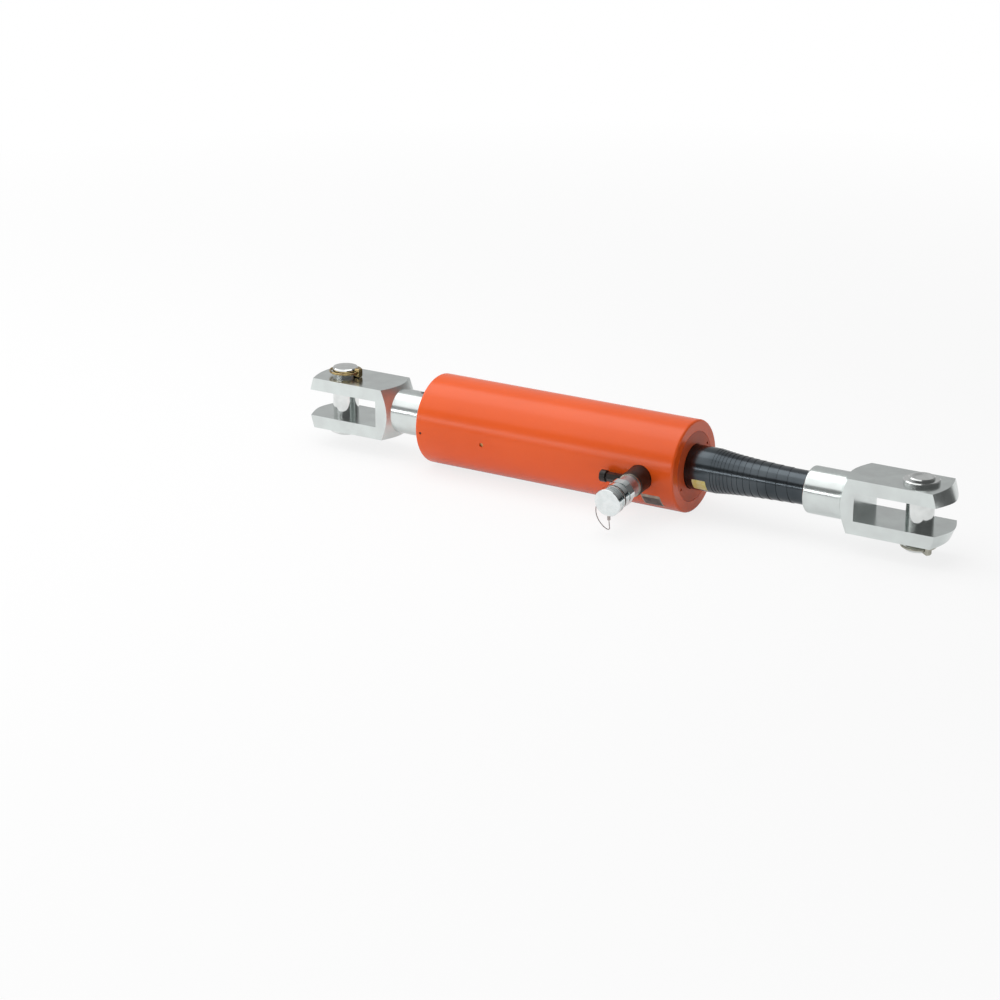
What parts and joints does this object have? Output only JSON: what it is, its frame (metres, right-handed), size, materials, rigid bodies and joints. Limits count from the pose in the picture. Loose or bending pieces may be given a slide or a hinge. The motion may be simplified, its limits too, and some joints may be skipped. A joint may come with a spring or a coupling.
{
  "type": "hydraulic pulling jack",
  "caption": "Single-acting hydraulic pulling jack: a painted barrel with fork ends and cross pins, a spring strip rod cover and a capped side oil coupler.",
  "frame": {"origin": "centre of the base clevis pin, on the jack's axis", "axes": "+X along the jack towards the rod end, +Z along both clevis pins, the oil port points 6 degrees below -Y"},
  "size_m": [0.93, 0.2038, 0.12],
  "materials": {
    "orange_paint": "gloss orange paint on steel",
    "orange_paint_face": "orange paint on the gland face",
    "zinc_steel": "bright zinc plated steel",
    "pin_steel": "turned zinc plated steel",
    "yellow_zinc": "yellow passivated spring steel",
    "black_oxide": "black oxide steel",
    "spring_steel": "blued spring steel strip",
    "bright_zinc": "bright zinc plated coupler steel",
    "dark_nickel": "dark plated steel",
    "chrome_rod": "hard chromed and ground",
    "plain_steel": "turned steel",
    "seal_rubber": "nitrile or polyurethane seal",
    "guide_bronze": "bronze guide",
    "steel_wire": "stranded steel wire"
  },
  "bodies": {
    "barrel_assembly": {"barrel": "orange_paint", "stud_set_screw": "black_oxide", "breather_filter": "guide_bronze", "base_fork": "zinc_steel", "base_fork_set_screw": "black_oxide", "base_lock_ring": "zinc_steel", "base_stud": "plain_steel", "gland_nut": "orange_paint_face", "rod_guide_bush": "guide_bronze", "rod_seal": "seal_rubber", "rod_wiper": "seal_rubber", "gland_o_ring": "seal_rubber", "return_spring": "plain_steel", "cover_turn_01": "spring_steel", "port_boss": "black_oxide", "port_o_ring": "seal_rubber", "relief_valve_body": "black_oxide", "relief_valve_adjuster": "black_oxide", "coupler_collar": "dark_nickel", "collar_ring": "bright_zinc", "coupler_body": "bright_zinc", "poppet_spring": "plain_steel", "lanyard_noose": "steel_wire", "lanyard_noose_ferrule": "steel_wire"},
    "piston_rings": {"piston_seal": "seal_rubber", "piston_wear_rings": "guide_bronze", "cover_turn_15": "spring_steel"},
    "rod_assembly": {"piston": "plain_steel", "piston_o_ring": "seal_rubber", "piston_nut": "plain_steel", "piston_rod": "chrome_rod", "rod_fork": "zinc_steel", "rod_fork_set_screw": "black_oxide"},
    "base_pin": {"base_clevis_pin": "pin_steel", "base_linch_pin": "yellow_zinc"},
    "base_ring": {"base_linch_ring": "yellow_zinc"},
    "rod_pin": {"rod_clevis_pin": "pin_steel", "rod_linch_pin": "yellow_zinc"},
    "rod_ring": {"rod_linch_ring": "yellow_zinc"},
    "cap": {"dust_cap": "bright_zinc", "lanyard_cap_ferrule": "steel_wire", "cap_lanyard": "steel_wire"},
    "poppet": {"coupler_poppet": "plain_steel"},
    "cover_02": {"cover_turn_02": "spring_steel"},
    "cover_03": {"cover_turn_03": "spring_steel"},
    "cover_04": {"cover_turn_04": "spring_steel"},
    "cover_05": {"cover_turn_05": "spring_steel"},
    "cover_06": {"cover_turn_06": "spring_steel"},
    "cover_07": {"cover_turn_07": "spring_steel"},
    "cover_08": {"cover_turn_08": "spring_steel"},
    "cover_09": {"cover_turn_09": "spring_steel"},
    "cover_10": {"cover_turn_10": "spring_steel"},
    "cover_11": {"cover_turn_11": "spring_steel"},
    "cover_12": {"cover_turn_12": "spring_steel"},
    "cover_13": {"cover_turn_13": "spring_steel"},
    "cover_14": {"cover_turn_14": "spring_steel"}
  },
  "joints": [
    {"name": "rod_slide", "type": "slide", "parent": "barrel_assembly", "child": "piston_rings", "axis": [1, 0, 0], "range_m": [-0.1, 0], "stiffness_N_per_m": 2500, "springref_m": 0.08, "deforming": ["return_spring"]},
    {"name": "rod_turn", "type": "hinge", "parent": "piston_rings", "child": "rod_assembly", "pos_m": [0.698, 0, 0], "axis": [1, 0, 0], "continuous": true},
    {"name": "cover_02_slide", "type": "slide", "parent": "barrel_assembly", "child": "cover_02", "axis": [1, 0, 0], "range_m": [-0.00229, 0]},
    {"name": "cover_03_slide", "type": "slide", "parent": "barrel_assembly", "child": "cover_03", "axis": [1, 0, 0], "range_m": [-0.00477, 0]},
    {"name": "cover_04_slide", "type": "slide", "parent": "barrel_assembly", "child": "cover_04", "axis": [1, 0, 0], "range_m": [-0.00761, 0]},
    {"name": "cover_05_slide", "type": "slide", "parent": "barrel_assembly", "child": "cover_05", "axis": [1, 0, 0], "range_m": [-0.01096, 0]},
    {"name": "cover_06_slide", "type": "slide", "parent": "barrel_assembly", "child": "cover_06", "axis": [1, 0, 0], "range_m": [-0.01495, 0]},
    {"name": "cover_07_slide", "type": "slide", "parent": "barrel_assembly", "child": "cover_07", "axis": [1, 0, 0], "range_m": [-0.01975, 0]},
    {"name": "cover_08_slide", "type": "slide", "parent": "barrel_assembly", "child": "cover_08", "axis": [1, 0, 0], "range_m": [-0.02548, 0]},
    {"name": "cover_09_slide", "type": "slide", "parent": "barrel_assembly", "child": "cover_09", "axis": [1, 0, 0], "range_m": [-0.03229, 0]},
    {"name": "cover_10_slide", "type": "slide", "parent": "barrel_assembly", "child": "cover_10", "axis": [1, 0, 0], "range_m": [-0.04033, 0]},
    {"name": "cover_11_slide", "type": "slide", "parent": "barrel_assembly", "child": "cover_11", "axis": [1, 0, 0], "range_m": [-0.04975, 0]},
    {"name": "cover_12_slide", "type": "slide", "parent": "barrel_assembly", "child": "cover_12", "axis": [1, 0, 0], "range_m": [-0.06068, 0]},
    {"name": "cover_13_slide", "type": "slide", "parent": "barrel_assembly", "child": "cover_13", "axis": [1, 0, 0], "range_m": [-0.07327, 0]},
    {"name": "cover_14_slide", "type": "slide", "parent": "barrel_assembly", "child": "cover_14", "axis": [1, 0, 0], "range_m": [-0.08767, 0]},
    {"name": "base_pin_turn", "type": "hinge", "parent": "barrel_assembly", "child": "base_pin", "pos_m": [0, 0, 0], "axis": [0, 0, 1], "continuous": true},
    {"name": "base_ring_flip", "type": "hinge", "parent": "base_pin", "child": "base_ring", "pos_m": [0.0214, 0, 0.0415], "axis": [0, 1, 0], "range_deg": [0, 110], "stiffness_Nm_per_rad": 0.02, "springref_deg": -17.19},
    {"name": "rod_pin_turn", "type": "hinge", "parent": "rod_assembly", "child": "rod_pin", "pos_m": [0.842, 0, 0], "axis": [0, 0, 1], "continuous": true},
    {"name": "rod_ring_flip", "type": "hinge", "parent": "rod_pin", "child": "rod_ring", "pos_m": [0.85886, -0.01317, -0.0445], "axis": [-0.6157, -0.788, 0], "range_deg": [0, 110], "stiffness_Nm_per_rad": 0.02, "springref_deg": -17.19},
    {"name": "dust_cap_pull", "type": "slide", "parent": "barrel_assembly", "child": "cap", "axis": [0, -0.9945, -0.1045], "range_m": [0, 0.018]},
    {"name": "poppet_press", "type": "slide", "parent": "barrel_assembly", "child": "poppet", "axis": [0, 0.9945, 0.1045], "range_m": [0, 0.004], "stiffness_N_per_m": 500, "springref_m": -0.004, "deforming": ["poppet_spring"]}
  ],
  "couplings": [
    {"joint": "cover_02_slide", "follows": "rod_slide", "ratio": 0.022645},
    {"joint": "cover_03_slide", "follows": "rod_slide", "ratio": 0.047457},
    {"joint": "cover_04_slide", "follows": "rod_slide", "ratio": 0.07588},
    {"joint": "cover_05_slide", "follows": "rod_slide", "ratio": 0.10936},
    {"joint": "cover_06_slide", "follows": "rod_slide", "ratio": 0.14934},
    {"joint": "cover_07_slide", "follows": "rod_slide", "ratio": 0.19726},
    {"joint": "cover_08_slide", "follows": "rod_slide", "ratio": 0.25457},
    {"joint": "cover_09_slide", "follows": "rod_slide", "ratio": 0.32272},
    {"joint": "cover_10_slide", "follows": "rod_slide", "ratio": 0.40314},
    {"joint": "cover_11_slide", "follows": "rod_slide", "ratio": 0.49729},
    {"joint": "cover_12_slide", "follows": "rod_slide", "ratio": 0.6066},
    {"joint": "cover_13_slide", "follows": "rod_slide", "ratio": 0.73252},
    {"joint": "cover_14_slide", "follows": "rod_slide", "ratio": 0.8765}
  ]
}
